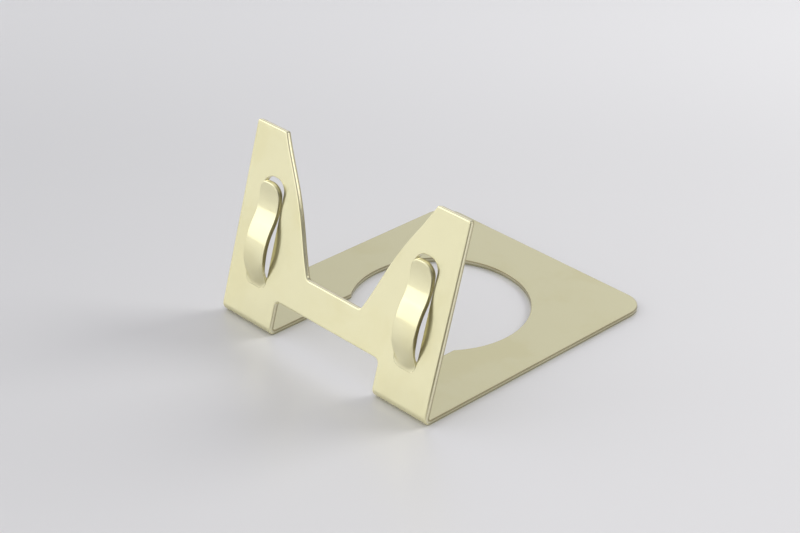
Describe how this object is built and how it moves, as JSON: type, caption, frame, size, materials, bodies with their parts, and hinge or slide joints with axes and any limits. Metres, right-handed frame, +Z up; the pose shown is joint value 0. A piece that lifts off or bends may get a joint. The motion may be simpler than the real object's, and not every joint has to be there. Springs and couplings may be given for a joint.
{
  "type": "place card holder",
  "caption": "Folded sheet metal place card holder: flat base with a keyhole opening, leaning ears joined by a crossbar, and a bowed spring tongue on each ear to grip a card.",
  "frame": {"origin": "on the table, at the centre of the holder's footprint", "axes": "+X along the fold to the right seen from the front, +Y to the rear, +Z up"},
  "size_m": [0.052, 0.0577, 0.0354],
  "materials": {
    "polished_gold": "pale gold, satin to polished, rolled sheet with lightly rounded edges"
  },
  "bodies": {
    "stand": {"base_plate": "polished_gold", "left_fold": "polished_gold", "right_fold": "polished_gold", "cross_bar": "polished_gold", "left_ear": "polished_gold", "right_ear": "polished_gold"},
    "left_tongue": {"left_spring_tongue": "polished_gold"},
    "right_tongue": {"right_spring_tongue": "polished_gold"}
  },
  "joints": [
    {"name": "left_tongue_flex", "type": "hinge", "parent": "stand", "child": "left_tongue", "pos_m": [-0.01915, -0.0266, 0.00757], "axis": [1, 0, 0], "range_deg": [0, 3], "stiffness_Nm_per_rad": 8.5},
    {"name": "right_tongue_flex", "type": "hinge", "parent": "stand", "child": "right_tongue", "pos_m": [0.01915, -0.0266, 0.00757], "axis": [1, 0, 0], "range_deg": [0, 3], "stiffness_Nm_per_rad": 8.5}
  ]
}
